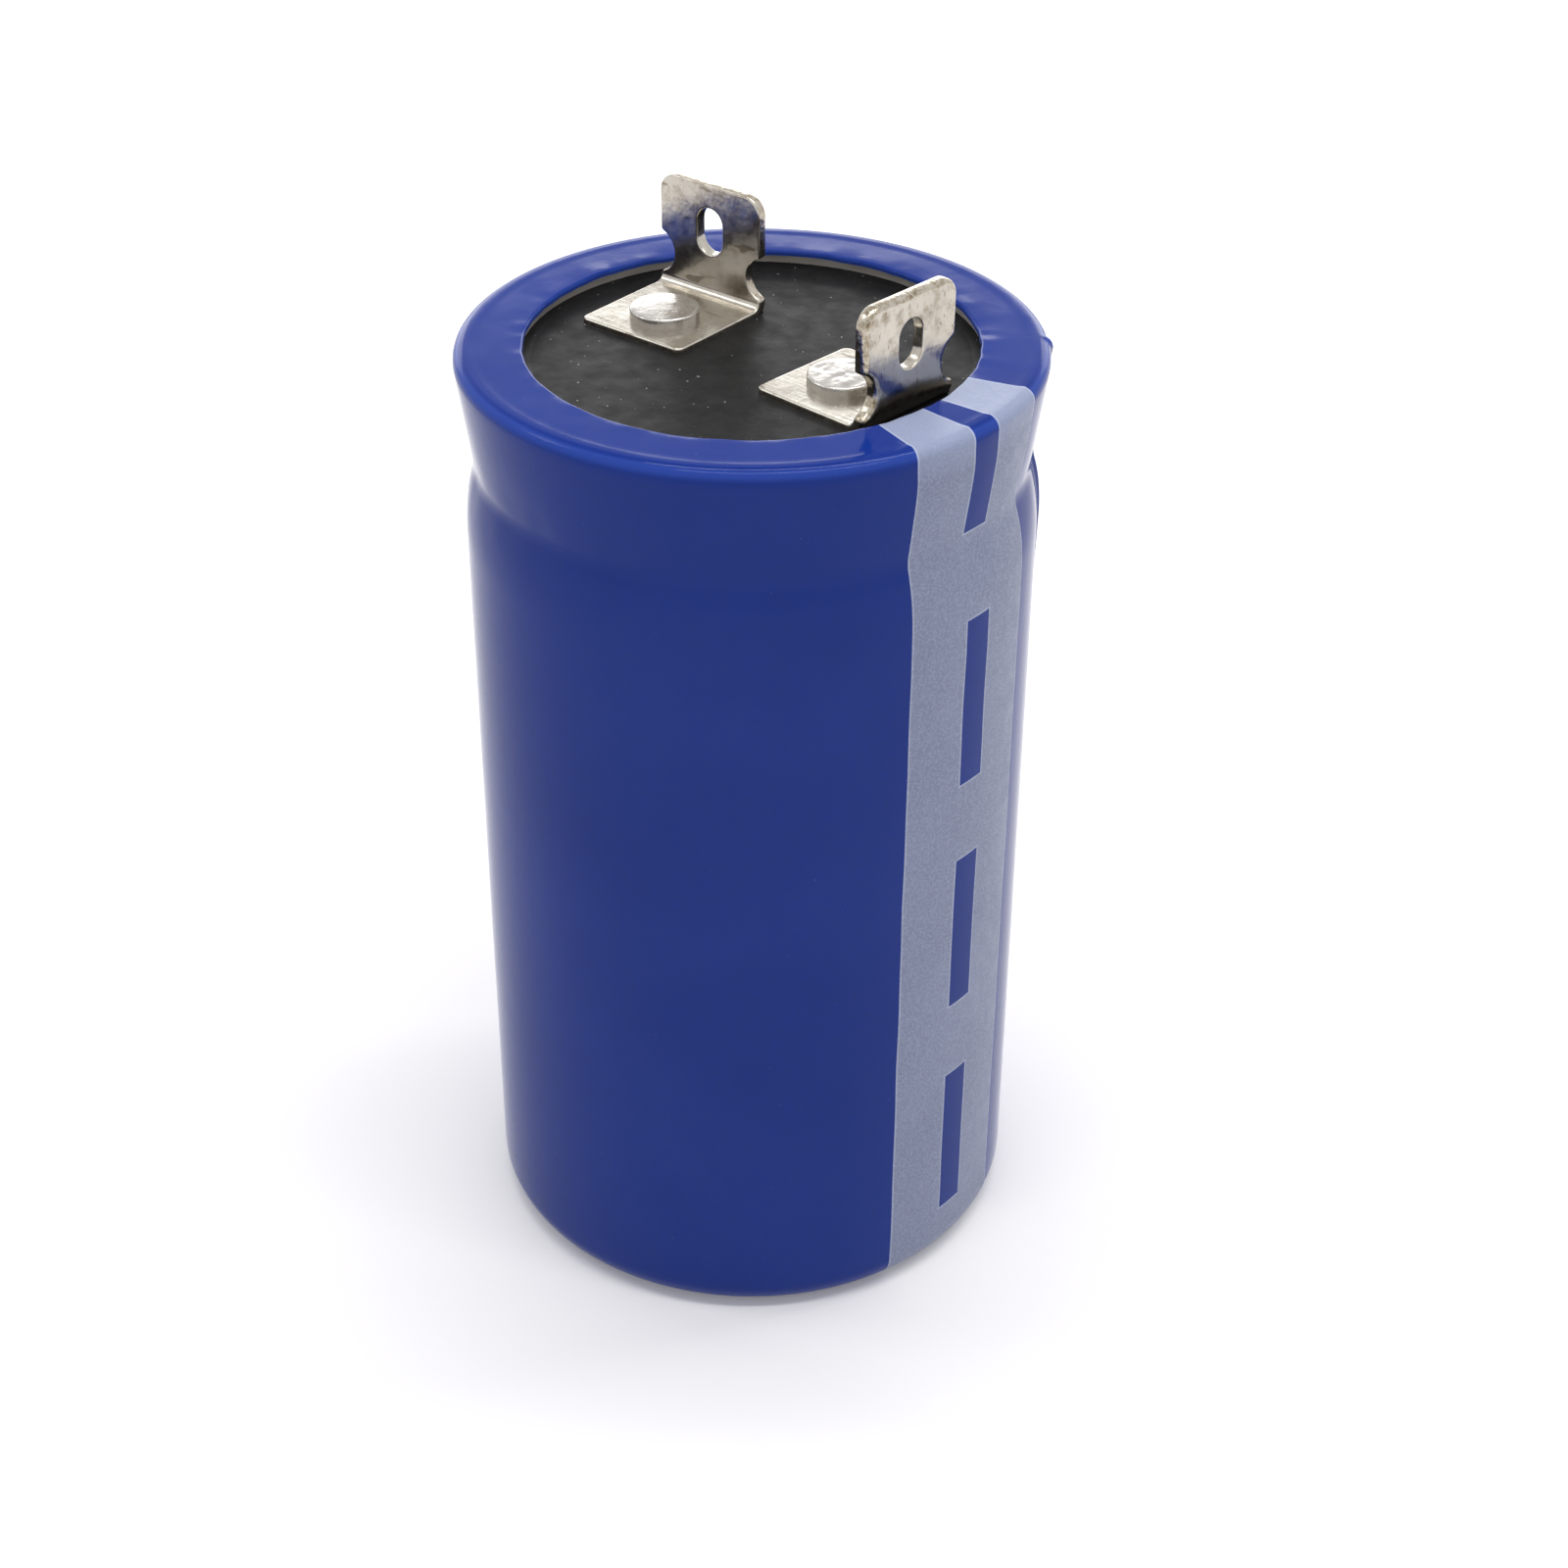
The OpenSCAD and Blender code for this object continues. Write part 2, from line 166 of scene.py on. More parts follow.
class Look:
    """A procedural material with its nodes placed in millimetres of the object's own space."""

    def __init__(self, name, metallic=0.0, roughness=0.5, specular=0.5):
        self.mat = bpy.data.materials.new(name)
        self.mat.use_nodes = True
        self.tree = self.mat.node_tree
        self.bsdf = self.tree.nodes["Principled BSDF"]
        self.bsdf.inputs["Metallic"].default_value = metallic
        self.bsdf.inputs["Roughness"].default_value = roughness
        self.bsdf.inputs["Specular IOR Level"].default_value = specular
        self.coord = self.tree.nodes.new("ShaderNodeTexCoord")
        self.normal = None

    def join(self, out, socket):
        self.tree.links.new(out, socket)

    def place(self, stretch=(1, 1, 1), turn=0.0):
        n = self.tree.nodes.new("ShaderNodeMapping")
        n.inputs["Scale"].default_value = [s / MM for s in stretch]
        n.inputs["Rotation"].default_value = (0, 0, math.radians(turn))
        self.join(self.coord.outputs["Object"], n.inputs["Vector"])
        return n.outputs["Vector"]

    def noise(self, scale, detail=2.0, rough=0.5, stretch=(1, 1, 1), turn=0.0):
        n = self.tree.nodes.new("ShaderNodeTexNoise")
        n.inputs["Scale"].default_value = scale
        n.inputs["Detail"].default_value = detail
        n.inputs["Roughness"].default_value = rough
        self.join(self.place(stretch, turn), n.inputs["Vector"])
        return n.outputs["Fac"]

    def rings(self, scale, distort=0.0):
        n = self.tree.nodes.new("ShaderNodeTexWave")
        n.wave_type = "RINGS"
        n.rings_direction = "Z"
        n.inputs["Scale"].default_value = scale
        n.inputs["Distortion"].default_value = distort
        n.inputs["Detail"].default_value = 2.0
        self.join(self.place(), n.inputs["Vector"])
        return n.outputs["Fac"]

    def height(self, low, high):
        """0 below the lower height and 1 above the higher one, in millimetres."""
        n = self.tree.nodes.new("ShaderNodeSeparateXYZ")
        self.join(self.place(), n.inputs["Vector"])
        m = self.tree.nodes.new("ShaderNodeMapRange")
        m.inputs["From Min"].default_value = low
        m.inputs["From Max"].default_value = high
        self.join(n.outputs["Z"], m.inputs["Value"])
        return m.outputs["Result"]

    def nearness(self, reach):
        """1 at the origin, falling evenly to 0 at a reach in millimetres."""
        n = self.tree.nodes.new("ShaderNodeTexGradient")
        n.gradient_type = "SPHERICAL"
        self.join(self.place((1 / reach, 1 / reach, 1 / reach)), n.inputs["Vector"])
        return n.outputs["Fac"]

    def ramp(self, fac, *stops):
        """Colours or levels along a pattern, as pairs of place and value."""
        n = self.tree.nodes.new("ShaderNodeValToRGB")
        ramp = n.color_ramp
        while len(ramp.elements) < len(stops):
            ramp.elements.new(0.5)
        for e, (at, value) in zip(ramp.elements, stops):
            e.position = at
            e.color = value if isinstance(value, tuple) else (value, value, value, 1.0)
        self.join(fac, n.inputs["Fac"])
        return n.outputs["Color"]

    def mix(self, fac, a, b):
        n = self.tree.nodes.new("ShaderNodeMix")
        n.data_type = "RGBA"
        for value, socket in ((fac, n.inputs[0]), (a, n.inputs[6]), (b, n.inputs[7])):
            if isinstance(value, (tuple, float)):
                socket.default_value = value
            else:
                self.join(value, socket)
        return n.outputs[2]

    def colour(self, out):
        self.join(out, self.bsdf.inputs["Base Color"])

    def rough(self, fac, low, high):
        """Roughness from low to high over the middle of a pattern."""
        self.join(self.ramp(fac, (0.3, low), (0.7, high)), self.bsdf.inputs["Roughness"])

    def bump(self, height, depth):
        """A relief of a depth in millimetres, laid over the ones before it."""
        n = self.tree.nodes.new("ShaderNodeBump")
        n.inputs["Strength"].default_value = 1.0
        n.inputs["Distance"].default_value = depth * MM
        self.join(height, n.inputs["Height"])
        if self.normal is not None:
            self.join(self.normal, n.inputs["Normal"])
        self.normal = n.outputs["Normal"]
        self.join(self.normal, self.bsdf.inputs["Normal"])


def film_look():
    look = Look("sleeve_film", specular=0.085)
    wall = look.ramp(look.noise(0.07, 3.0), (0.3, srgb(31, 53, 129)), (0.7, srgb(37, 59, 138)))
    ring = look.ramp(look.noise(0.1, 3.0), (0.3, srgb(16, 47, 134)), (0.7, srgb(22, 53, 142)))
    cloud = look.mix(look.height(*FILM_RING_Z), wall, ring)
    fine = look.ramp(look.noise(1.3, 3.0), (0.35, 0.0), (0.75, 0.3))
    flat = look.mix(fine, cloud, srgb(29, 54, 146))
    # Painted highlight: a lighter blue band over the round edges of the rim and of the lip, standing in
    # for the lamps' gloss there.
    painted_edge_highlight = look.ramp(look.height(*FILM_HIGHLIGHT_Z), (0.36, 0.0), (0.6, 0.55), (0.82, 0.55), (0.9, 0.0))
    body = look.mix(painted_edge_highlight, flat, srgb(56, 84, 178))
    dust = look.ramp(look.noise(2.9, 1.0), (0.78, 0.0), (0.82, 0.12))
    look.colour(look.mix(dust, body, srgb(120, 130, 190)))
    look.rough(look.noise(0.5, 3.0), 0.07, 0.13)
    look.bump(look.noise(0.16, 2.0), 0.018)
    look.bump(look.noise(0.9, 2.0, stretch=(1, 1, 0.6)), 0.004)
    look.bump(look.noise(5.0, 2.0), 0.001)
    return look.mat


def ink_look(name, lift):
    look = Look(name, specular=0.2)

    def tone(r, g, b):
        return srgb(r + lift, g + lift, b + lift)

    wall = look.ramp(look.noise(0.12, 3.0), (0.3, tone(125, 133, 160)), (0.7, tone(135, 143, 170)))
    # Painted light: the ink on the ring's top is a lighter tone than on the wall, standing in for the
    # stronger light from above.
    ring = look.ramp(look.noise(0.12, 3.0), (0.3, tone(149, 159, 190)), (0.7, tone(159, 169, 200)))
    cloud = look.mix(look.height(*INK_TOP_LIGHT_Z), wall, ring)
    speck = look.ramp(look.noise(6.5, 2.0), (0.42, 0.0), (0.66, 0.55))
    body = look.mix(speck, cloud, tone(162, 171, 197))
    pit = look.ramp(look.noise(6.5, 2.0), (0.66, 0.0), (0.76, 0.35))
    look.colour(look.mix(pit, body, srgb(112, 124, 168)))
    look.rough(look.noise(1.1, 3.0), 0.33, 0.48)
    look.bump(look.noise(0.16, 2.0), 0.05)
    look.bump(look.noise(1.0, 3.0, stretch=(1.6, 1.6, 0.3)), 0.02)
    look.bump(look.noise(3.0, 1.0), 0.012)
    look.bump(look.noise(8.0, 2.0), 0.004)
    return look.mat


def rubber_look():
    look = Look("header_rubber", specular=0.07)
    cloud = look.ramp(look.noise(0.18, 4.0), (0.3, srgb(15, 15, 16)), (0.7, srgb(22, 22, 23)))
    bloom = look.ramp(look.noise(0.9, 4.0), (0.5, 0.0), (0.8, 0.3))
    body = look.mix(bloom, cloud, srgb(46, 46, 48))
    dust = look.ramp(look.noise(3.4, 0.5), (0.775, 0.0), (0.81, 0.7))
    look.colour(look.mix(dust, body, srgb(170, 170, 172)))
    look.rough(look.noise(0.7, 3.0), 0.34, 0.52)
    look.bump(look.noise(0.35, 3.0), 0.05)
    look.bump(look.noise(6.0, 3.0), 0.006)
    return look.mat


def plating_look():
    look = Look("lug_plating", metallic=1.0)
    warm = look.ramp(look.noise(0.3, 3.0), (0.3, srgb(180, 174, 164)), (0.7, srgb(196, 191, 181)))
    cloud = look.noise(0.9, 4.0, rough=0.7)
    faint = look.ramp(cloud, (0.52, 0.0), (0.8, 0.5))
    strong = look.ramp(cloud, (0.46, 0.0), (0.7, 0.85))
    stain = look.mix(look.height(*STAIN_Z), faint, strong)
    body = look.mix(stain, warm, srgb(124, 110, 90))
    scratch = look.noise(0.9, 2.0, stretch=(0.35, 5.0, 1.6), turn=25.0)
    line = look.ramp(scratch, (0.66, 0.0), (0.7, 0.7))
    look.colour(look.mix(line, body, srgb(108, 97, 81)))
    look.rough(look.noise(1.4, 4.0, rough=0.65), 0.13, 0.25)
    look.bump(look.noise(0.3, 2.0), 0.03)
    look.bump(look.noise(1.1, 2.0), 0.012)
    look.bump(scratch, 0.006)
    look.bump(look.noise(1.0, 3.0, stretch=(7.0, 0.6, 3.0), turn=-15.0), 0.004)
    return look.mat


def shear_look():
    look = Look("lug_sheared_edge", metallic=1.0)
    streak = look.noise(1.0, 4.0, rough=0.7, stretch=(2.4, 2.4, 2.4))
    bright, dull, dark = srgb(188, 181, 169), srgb(158, 147, 128), srgb(98, 82, 62)
    look.colour(look.ramp(streak, (0.42, bright), (0.58, dull), (0.74, dark)))
    look.rough(look.noise(2.5, 3.0), 0.1, 0.26)
    look.bump(look.noise(2.8, 3.0), 0.03)
    return look.mat


def rivet_look():
    look = Look("rivet_metal", metallic=1.0)
    tone = look.ramp(look.noise(0.9, 4.0), (0.3, srgb(176, 172, 168)), (0.7, srgb(192, 188, 183)))
    mark = look.ramp(look.noise(2.4, 3.0), (0.6, 0.0), (0.78, 0.6))
    look.colour(look.mix(mark, tone, srgb(146, 141, 135)))
    look.rough(look.noise(2.0, 4.0), 0.17, 0.3)
    look.bump(look.noise(0.8, 3.0), 0.05)
    look.bump(look.noise(4.5, 3.0), 0.01)
    return look.mat


def can_look():
    look = Look("can_aluminium", metallic=0.55)
    tone = look.ramp(look.noise(0.25, 4.0), (0.3, srgb(198, 193, 187)), (0.7, srgb(214, 210, 205)))
    line = look.ramp(look.rings(0.7, 1.5), (0.2, 0.0), (0.9, 0.35))
    look.colour(look.mix(line, tone, srgb(180, 175, 169)))
    look.rough(look.noise(1.1, 4.0), 0.4, 0.56)
    look.bump(look.rings(1.6, 0.8), 0.006)
    look.bump(look.noise(1.2, 3.0), 0.02)
    return look.mat


def board_look():
    look = Look("header_board")
    fibre = look.noise(0.7, 5.0, rough=0.7, stretch=(1.0, 3.2, 1.0))
    look.colour(look.ramp(fibre, (0.3, srgb(96, 62, 36)), (0.7, srgb(134, 92, 56))))
    look.rough(look.noise(1.5, 3.0), 0.52, 0.72)
    look.bump(look.noise(2.2, 4.0), 0.02)
    return look.mat


def foil_look():
    look = Look("tab_foil", metallic=1.0)
    grain = look.noise(0.8, 4.0, stretch=(0.3, 5.0, 5.0))
    look.colour(look.ramp(grain, (0.3, srgb(196, 197, 200)), (0.7, srgb(222, 223, 225))))
    look.rough(look.noise(1.3, 3.0), 0.22, 0.38)
    look.bump(look.noise(1.2, 3.0), 0.02)
    return look.mat


def winding_look():
    look = Look("winding")
    turns = look.rings(1.1, 0.6)
    coal, grey, paper = srgb(38, 37, 36), srgb(60, 58, 56), srgb(206, 200, 188)
    tone = look.ramp(turns, (0.2, coal), (0.75, grey), (0.92, paper))
    soil = look.ramp(look.noise(0.5, 4.0), (0.45, 0.0), (0.8, 0.5))
    look.colour(look.mix(soil, tone, srgb(48, 46, 44)))
    look.rough(look.noise(0.9, 3.0), 0.74, 0.9)
    look.bump(turns, 0.05)
    return look.mat


def tape_look():
    look = Look("winding_tape")
    tone = look.ramp(look.noise(0.2, 3.0), (0.3, srgb(186, 132, 52)), (0.7, srgb(206, 152, 68)))
    patch = look.ramp(look.noise(1.1, 3.0), (0.5, 0.0), (0.8, 0.4))
    look.colour(look.mix(patch, tone, srgb(160, 108, 40)))
    look.rough(look.noise(0.8, 3.0), 0.22, 0.36)
    look.bump(look.noise(0.5, 3.0), 0.03)
    return look.mat


def arc(c, r, a0, a1, steps):
    """Points along an arc about c, from angle a0 to angle a1."""
    out = []
    for i in range(steps + 1):
        a = math.radians(a0 + (a1 - a0) * i / steps)
        out.append((c[0] + r * math.cos(a), c[1] + r * math.sin(a)))
    return out


def along(p, q, step):
    """Points between p and q, without both ends."""
    n = max(1, round(math.dist(p, q) / step))
    return [(p[0] + (q[0] - p[0]) * i / n, p[1] + (q[1] - p[1]) * i / n) for i in range(1, n)]


def new_piece(name, bm, mats, nodes, sharp):
    """A piece on the root body in place of CAD nodes, with its edges sharp from an angle up."""
    mesh = bpy.data.meshes.new(name)
    bm.to_mesh(mesh)
    bm.free()
    for m in mats:
        mesh.materials.append(m)
    mesh.shade_smooth()
    mesh.set_sharp_from_angle(angle=math.radians(sharp))
    obj = bpy.data.objects.new(name, mesh)
    bpy.context.scene.collection.objects.link(obj)
    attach(obj, "root")
    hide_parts(*nodes)
    return obj


def lathe(outline, angles, shape, paint=None, centre=(0.0, 0.0)):
    """A closed outline of (radius, height) turned about an upright axis, in millimetres.

    shape moves each point, and paint picks the material of a face."""
    bm = bmesh.new()
    columns = []
    poles = {}
    for a in angles:
        column = []
        for i, (r, z) in enumerate(outline):
            if r < 1e-6:
                if i not in poles:
                    poles[i] = bm.verts.new((centre[0] * MM, centre[1] * MM, z * MM))
                column.append(poles[i])
                continue
            pr, pz, pa = shape(r, z, a)
            t = math.radians(pa)
            column.append(bm.verts.new(
                ((centre[0] + pr * math.cos(t)) * MM, (centre[1] + pr * math.sin(t)) * MM, pz * MM)))
        columns.append(column)
    n = len(outline)
    for j, here in enumerate(columns):
        there = columns[(j + 1) % len(columns)]
        for i in range(n):
            k = (i + 1) % n
            corners = []
            for v in (here[i], there[i], there[k], here[k]):
                if v not in corners:
                    corners.append(v)
            if len(corners) < 3:
                continue
            face = bm.faces.new(corners)
            if paint:
                nxt = angles[(j + 1) % len(angles)]
                mid_a = (angles[j] + (nxt if nxt > angles[j] else nxt + 360.0)) / 2
                face.material_index = paint(i, mid_a)
    bmesh.ops.recalc_face_normals(bm, faces=bm.faces[:])
    return bm


def even_angles(count, extra=(), keep=0.5):
    """Even angles round the axis, with the extra ones put in and the ones near them left out."""
    extra = sorted(set((a + 360.0) % 360.0 for a in extra))
    out = list(extra)
    for i in range(count):
        a = 360.0 * i / count
        if all(min(abs(a - e), 360.0 - abs(a - e)) > keep for e in extra):
            out.append(a)
    return sorted(out)


def apart(a, b):
    """Signed angle from b to a, in degrees."""
    return (a - b + 180.0) % 360.0 - 180.0


def hump(x, centre, width):
    """A bell of height 1 at the centre."""
    return math.exp(-0.5 * ((x - centre) / width) ** 2)


def wander(a, z, turns, tall, seed):
    """Smooth noise of about -1 to 1 that closes round the axis, and differs with its seed."""
    t = math.radians(a)
    return noise.noise(Vector((turns * math.cos(t) + seed, turns * math.sin(t) - seed, z * tall + seed)))


def sleeve_skin(depth, fine):
    """The sleeve's outline from its base opening to its top opening, at a depth below its skin."""
    few = 10 if fine else 4
    rim_c = (RIM_R - RIM_EDGE_R, BODY_H - RIM_EDGE_R)
    lip_c = (OPEN_R + LIP_R, BODY_H - LIP_R)
    lean = math.radians(RIM_LEAN)
    out, up = (math.cos(lean), -math.sin(lean)), (math.sin(lean), math.cos(lean))
    low = (rim_c[0] + RIM_EDGE_R * out[0], rim_c[1] + RIM_EDGE_R * out[1])
    fall = (low[1] - NECK_Z + NECK_R * out[1]) / up[1]
    neck_c = (low[0] - fall * up[0] + NECK_R * out[0], low[1] - fall * up[1] + NECK_R * out[1])
    sh_x = BODY_R - SHOULDER_R
    sh_fall = math.sqrt((NECK_R + SHOULDER_R) ** 2 - (neck_c[0] - sh_x) ** 2)
    sh_c = (sh_x, neck_c[1] - sh_fall)
    sh_a = math.degrees(math.atan2(sh_fall, neck_c[0] - sh_x))
    base_c = (BODY_R - BASE_EDGE_R, BASE_EDGE_R)
    bottom = arc(base_c, BASE_EDGE_R - depth, -90, 0, few)
    shoulder = arc(sh_c, SHOULDER_R - depth, 0, sh_a, few)
    neck = arc(neck_c, NECK_R + depth, 180 + sh_a, 180 - RIM_LEAN, few)
    rim = arc(rim_c, RIM_EDGE_R - depth, -RIM_LEAN, 90, few)
    lip = [(OPEN_R + depth, BODY_H - depth)]
    if depth < LIP_R:
        lip = arc(lip_c, LIP_R - depth, 90, 180, few)
    lip.append((OPEN_R + depth, BODY_H - LIP_DROP))
    start = (BASE_OPEN_R, depth)
    if not fine:
        return [start] + bottom + shoulder + neck + rim + lip
    path = ([start] + along(start, bottom[0], 0.8) + bottom
            + along(bottom[-1], shoulder[0], 1.6) + shoulder + neck
            + along(neck[-1], rim[0], 0.6) + rim + along(rim[-1], lip[0], 0.45) + lip)
    top = path.index(rim[0])
    marks = [z for lo, hi in DASH_ROWS for z in (lo - OUTLINE_H, lo, hi, hi + OUTLINE_H)]
    for mark in sorted(marks):
        for k in range(top):
            (r0, z0), (r1, z1) = path[k], path[k + 1]
            if z0 < mark < z1:
                t = (mark - z0) / (z1 - z0)
                path.insert(k + 1, (r0 + t * (r1 - r0), mark))
                top += 1
                break
    return path


def build_sleeve(film, ink, outline_ink):
    """The sleeve's film, with its stripe as faces of their own materials."""
    skin = sleeve_skin(0.0, True)
    inside = sleeve_skin(SLEEVE_T, False)[::-1]
    outline = skin + inside
    extra = [e + d for e, d in zip(STRIPE + DASH, (OUTLINE_A, -OUTLINE_A, -OUTLINE_A, OUTLINE_A))]
    extra += list(STRIPE) + list(DASH)
    for c in CREASES:
        extra += [c + d for d in CREASE_STEPS]
    angles = even_angles(SLEEVE_COLUMNS, extra, 0.35)

    def crease(a, z):
        size = sum(depth * hump(z, at, reach) for depth, at, reach in CREASE_SWELLS)
        rim = -size * hump(z, *CREASE_FADE)
        if abs(apart(a, CREASES[0])) < 90:
            rim = CREASE_RIM[0] * hump(z, *CREASE_RIM[1:])
        paths = (c + 0.5 * wander(c, z, 0.0, 0.08, 7.0) for c in CREASES)
        return (size + rim) * sum(hump(apart(a, path), 0.0, CREASE_W) for path in paths)

    def shape(r, z, a):
        near = hump(apart(a, STRIPE_MIDDLE), 0.0, STRIPE_SWAY_W)
        turn = near * (-1.1 * hump(z, 62.0, 0.9) + 0.35 * wander(a, z, 1.2, 0.22, 3.0))
        folds = hump(z, FOLD_Z, FOLD_W)
        r += 0.07 * folds * wander(a, z, 3.2, 0.25, 11.0) + 0.035 * folds * wander(a, z, 9.0, 0.5, 5.0)
        outer = min(1.0, max(0.0, (r - RING_EDGE_R) / RING_EDGE_W)) if z > RING_TOP_Z else 1.0
        r += crease(a, z) * outer
        if z > RING_LOW_Z:
            z += RIDGE_H * hump(r, RIDGE_R, RIDGE_W)
            z += 0.012 * wander(a, r, 2.4, 0.4, 19.0)
            edge = max(0.0, (TOP_WAVE_R - r) / TOP_WAVE_W)
            z += edge * (0.04 * wander(a, 0.0, 6.0, 0.0, 23.0) + 0.03 * wander(a, 0.0, 15.0, 0.0, 29.0))
            r += 0.06 * edge * wander(a, 0.0, 11.0, 0.0, 37.0)
        if z < BASE_WAVE_Z and r < BASE_WAVE_R:
            r += (BASE_WAVE_R - r) / BASE_WAVE_W * 0.3 * wander(a, 0.0, 5.0, 0.0, 31.0)
        return r, z, a + turn

    def paint(i, a):
        at = apart(a, 0.0)
        if i >= len(skin) - 1 or not STRIPE[0] < at < STRIPE[1]:
            return FILM_FACE
        z = (skin[i][1] + skin[i + 1][1]) / 2
        if DASH[0] < at < DASH[1] and any(lo < z < hi for lo, hi in DASH_ROWS):
            return FILM_FACE
        if at < STRIPE[0] + OUTLINE_A or at > STRIPE[1] - OUTLINE_A:
            return OUTLINE_FACE
        by_dash = DASH[0] - OUTLINE_A < at < DASH[1] + OUTLINE_A
        if by_dash and any(lo - OUTLINE_H < z < hi + OUTLINE_H for lo, hi in DASH_ROWS):
            return OUTLINE_FACE
        return INK_FACE

    bm = lathe(outline, angles, shape, paint)
    return new_piece("sleeve_look", bm, [film, ink, outline_ink], ["sleeve"], SLEEVE_SHARP)


def inset(loop, d):
    """A closed loop moved to the left of its direction by d."""
    out = []
    n = len(loop)
    for i, p in enumerate(loop):
        a, b = loop[i - 1], loop[(i + 1) % n]
        u = Vector((p[0] - a[0], p[1] - a[1])).normalized()
        v = Vector((b[0] - p[0], b[1] - p[1])).normalized()
        m = Vector((-u.y - v.y, u.x + v.x)).normalized()
        sharpness = max(0.5, m.x * -u.y + m.y * u.x)
        out.append((p[0] + m.x * d / sharpness, p[1] + m.y * d / sharpness))
    return out


def lug_loops():
    """The lug's flat pattern along its length and across: its outline, its slot and its rivet hole."""
    half = LUG_W / 2
    bend_x = LUG_REACH - BEND_R
    bend_l = math.pi / 2 * (BEND_R + LUG_T / 2)
    up = bend_x + bend_l - BEND_R - LUG_T
    free, tip, waist = LUG_REACH - LUG_L, up + LUG_RISE, up + WAIST_Z
    waist_v = half - WAIST_DEPTH + WAIST_R
    edge_v = half - WAIST_EDGE_R
    span = math.sqrt((WAIST_R + WAIST_EDGE_R) ** 2 - (waist_v - edge_v) ** 2)
    lean = math.degrees(math.atan2(waist_v - edge_v, span))
    side = (arc((tip - TIP_CORNER_R, half - TIP_CORNER_R), TIP_CORNER_R, 0, 90, 10)
            + arc((waist + span, edge_v), WAIST_EDGE_R, 90, 180 - lean, 5)
            + arc((waist, waist_v), WAIST_R, -lean, lean - 180, 14)[1:-1]
            + arc((waist - span, edge_v), WAIST_EDGE_R, lean, 90, 5)
            + arc((free + FREE_CORNER_R, half - FREE_CORNER_R), FREE_CORNER_R, 90, 180, 6))
    outline = side + [(s, -v) for s, v in reversed(side)]
    slot_s, slot_d = up + SLOT_Z, (SLOT_L - SLOT_W) / 2
    slot = (arc((slot_s + slot_d, 0), SLOT_W / 2, -90, 90, 14)
            + arc((slot_s - slot_d, 0), SLOT_W / 2, 90, 270, 14))[::-1]
    hole = arc((0, 0), HOLE_R, 0, 360, 32)[:-1][::-1]
    return [outline, slot, hole], bend_x, bend_l


def edge_rings(roll):
    """Steps of inset and depth round a punched edge, with the first and last of its sheared steps."""
    rings = [(roll + 0.1, 0.0)]
    shear_from = len(rings)
    for i in range(6):
        a = math.radians(90 * i / 5)
        rings.append((roll * (1 - math.sin(a)), roll * (1 - math.cos(a))))
    shear_to = len(rings) - 1
    for i in range(4):
        a = math.radians(90 * i / 3)
        rings.append((INNER_EDGE_R * (1 - math.cos(a)), LUG_T - INNER_EDGE_R * (1 - math.sin(a))))
    rings.append((INNER_EDGE_R + 0.06, LUG_T))
    return rings, shear_from, shear_to


def build_lug(name, node, x, turn, plating, shear):
    """A lug, made flat with rolled and sheared edges and then bent up about its bend line."""
    loops, bend_x, bend_l = lug_loops()
    bm = bmesh.new()
    caps = ([], [])
    for loop, roll, edge in zip(loops, (DIE_ROLL_R, HOLE_ROLL_R, HOLE_ROLL_R), (1, 0, 0)):
        rings, shear_from, shear_to = edge_rings(roll)
        rows = [[bm.verts.new((s, v, w)) for s, v in inset(loop, d)] for d, w in rings]
        n = len(loop)
        for k in range(len(rows) - 1):
            for i in range(n):
                j = (i + 1) % n
                f = bm.faces.new((rows[k][i], rows[k][j], rows[k + 1][j], rows[k + 1][i]))
                f.material_index = edge if shear_from <= k <= shear_to else 0
        for cap, row in zip(caps, (rows[0], rows[-1])):
            cap += [bm.edges.get((row[i], row[(i + 1) % n])) for i in range(n)]
    for cap in caps:
        bmesh.ops.triangle_fill(bm, use_beauty=True, use_dissolve=False, edges=cap)
    for s in [bend_x + bend_l * i / BEND_STEPS for i in range(BEND_STEPS + 1)]:
        everything = bm.verts[:] + bm.edges[:] + bm.faces[:]
        bmesh.ops.bisect_plane(bm, geom=everything, dist=1e-6, plane_co=(s, 0, 0), plane_no=(1, 0, 0))
    bmesh.ops.recalc_face_normals(bm, faces=bm.faces[:])
    move = Matrix.Translation((x, 0, LUG_Z)) @ Matrix.Rotation(math.radians(turn), 4, "Z")
    for vert in bm.verts:
        s, v, w = vert.co
        rho = BEND_R + LUG_T - w
        if s <= bend_x:
            p = Vector((s, v, w))
        elif s < bend_x + bend_l:
            a = (s - bend_x) / bend_l * math.pi / 2
            p = Vector((bend_x + rho * math.sin(a), v, LUG_T + BEND_R - rho * math.cos(a)))
        else:
            p = Vector((bend_x + rho, v, LUG_T + BEND_R + s - bend_x - bend_l))
        vert.co = (move @ p) * MM
    return new_piece(name, bm, [plating, shear], [node], LUG_SHARP)


